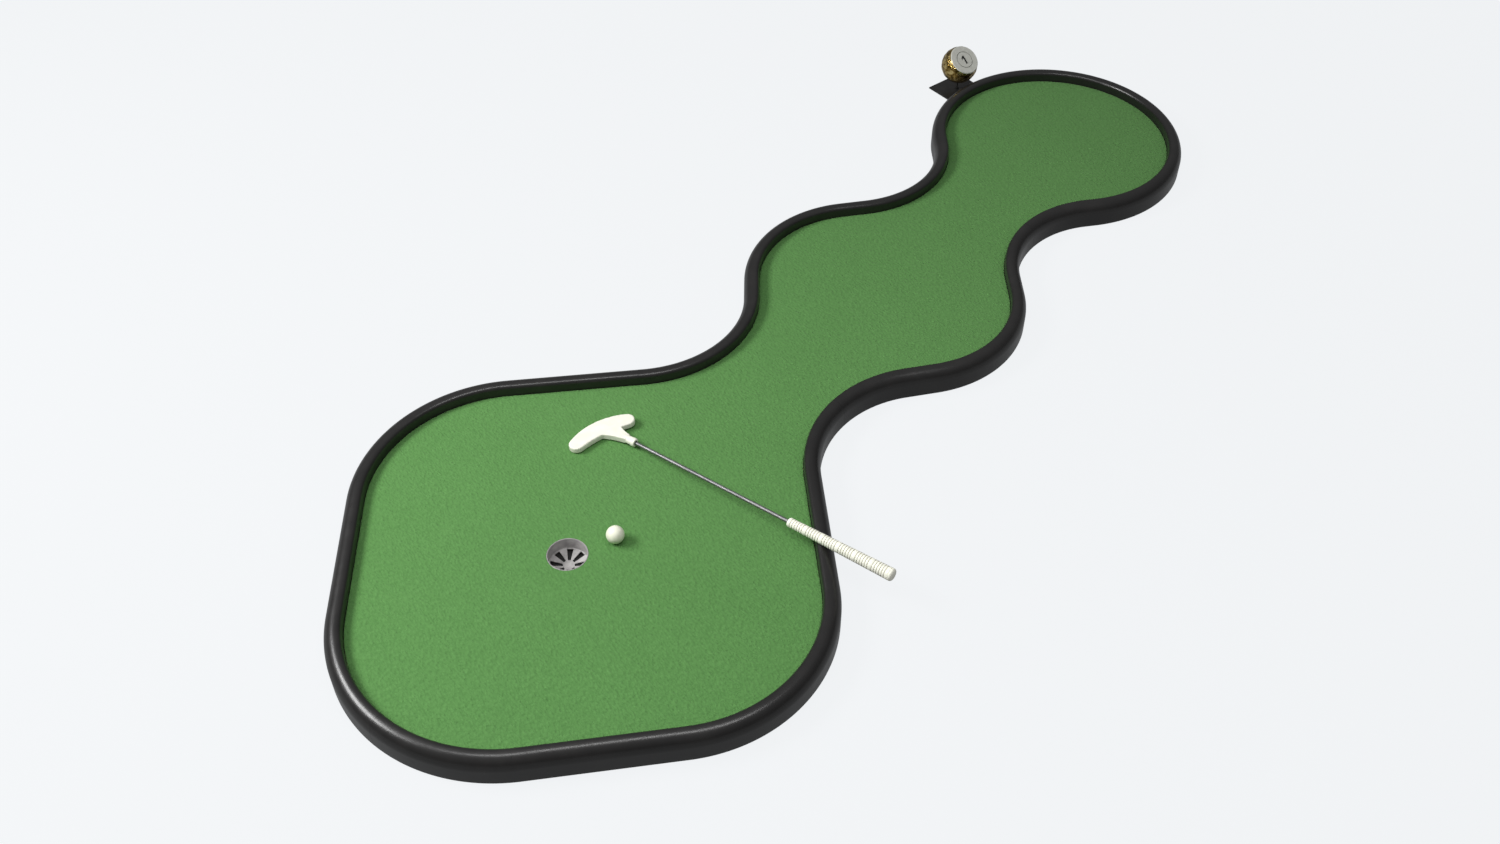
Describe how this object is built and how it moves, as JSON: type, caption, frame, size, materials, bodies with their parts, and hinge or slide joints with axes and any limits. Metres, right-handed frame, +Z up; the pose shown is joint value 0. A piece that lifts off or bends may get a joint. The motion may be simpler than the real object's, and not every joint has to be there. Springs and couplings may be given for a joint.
{
  "type": "practice putting mat",
  "caption": "Raised turf putting lane with a bulbous hole end, waisted necks and a black rubber kerb, a slotted cup, and its own ball, two-way putter and hole marker.",
  "frame": {"origin": "on the floor, under the middle of the lane", "axes": "+X along the lane from the hole end to the tee end, +Y to the side that the hole marker stands on, +Z up"},
  "size_m": [3.087, 1.2556, 0.145],
  "materials": {
    "plywood": "sanded birch ply, edges sealed",
    "foot_rubber": "matte moulded rubber",
    "zinc_steel": "bright zinc plate",
    "turf": "short dense synthetic pile",
    "kerb_rubber": "satin black moulded rubber",
    "cup_plastic": "satin grey moulded plastic",
    "ivory_plastic": "smooth ivory plastic",
    "grip_rubber": "ribbed ivory rubber",
    "chromed_steel": "drawn chromed tube",
    "black_paint": "satin black powder coat",
    "gold": "hammered, polished gold colour",
    "grey_plastic": "satin light grey plate",
    "black_plastic": "satin black numeral"
  },
  "bodies": {
    "lane": {"deck_panel_hole_end": "plywood", "deck_panel_middle": "plywood", "deck_panel_tee_end": "plywood", "foot_1": "foot_rubber", "foot_2": "foot_rubber", "foot_3": "foot_rubber", "foot_4": "foot_rubber", "foot_5": "foot_rubber", "foot_6": "foot_rubber", "foot_7": "foot_rubber", "foot_8": "foot_rubber", "foot_9": "foot_rubber", "foot_10": "foot_rubber", "foot_11": "foot_rubber", "foot_12": "foot_rubber", "foot_13": "foot_rubber", "joint_plate_1": "zinc_steel", "joint_plate_1_screw_1": "zinc_steel", "joint_plate_1_screw_2": "zinc_steel", "joint_plate_1_screw_3": "zinc_steel", "joint_plate_1_screw_4": "zinc_steel", "joint_plate_2": "zinc_steel", "joint_plate_2_screw_1": "zinc_steel", "joint_plate_2_screw_2": "zinc_steel", "joint_plate_2_screw_3": "zinc_steel", "joint_plate_2_screw_4": "zinc_steel", "turf": "turf", "kerb_hole_end_left": "kerb_rubber", "kerb_hole_end_right": "kerb_rubber", "kerb_middle_left": "kerb_rubber", "kerb_middle_right": "kerb_rubber", "kerb_tee_end_left": "kerb_rubber", "kerb_tee_end_right": "kerb_rubber", "kerb_dowel_1": "zinc_steel", "kerb_dowel_2_left": "zinc_steel", "kerb_dowel_2_right": "zinc_steel", "kerb_dowel_3_left": "zinc_steel", "kerb_dowel_3_right": "zinc_steel", "kerb_dowel_4": "zinc_steel", "cup": "cup_plastic", "cup_liner": "black_plastic", "cup_screw_1": "zinc_steel", "cup_screw_2": "zinc_steel", "cup_screw_3": "zinc_steel", "cup_screw_4": "zinc_steel"},
    "golf_ball": {"ball": "ivory_plastic"},
    "putter": {"putter_head": "ivory_plastic", "putter_shaft": "chromed_steel", "putter_grip": "grip_rubber", "putter_grip_cap": "grip_rubber"},
    "marker": {"marker_base_plate": "black_paint", "marker_stem_nut": "black_paint", "marker_stem": "black_paint", "marker_ball": "gold", "marker_face": "grey_plastic", "marker_digit_1": "black_plastic"}
  },
  "joints": [
    {"name": "ball_lift", "type": "slide", "parent": "lane", "child": "golf_ball", "axis": [0, 0, 1], "range_m": [0, 0.3]},
    {"name": "putter_lift", "type": "slide", "parent": "lane", "child": "putter", "axis": [0, 0, 1], "range_m": [0, 0.3]},
    {"name": "marker_lift", "type": "slide", "parent": "lane", "child": "marker", "axis": [0, 0, 1], "range_m": [0, 0.3]}
  ]
}
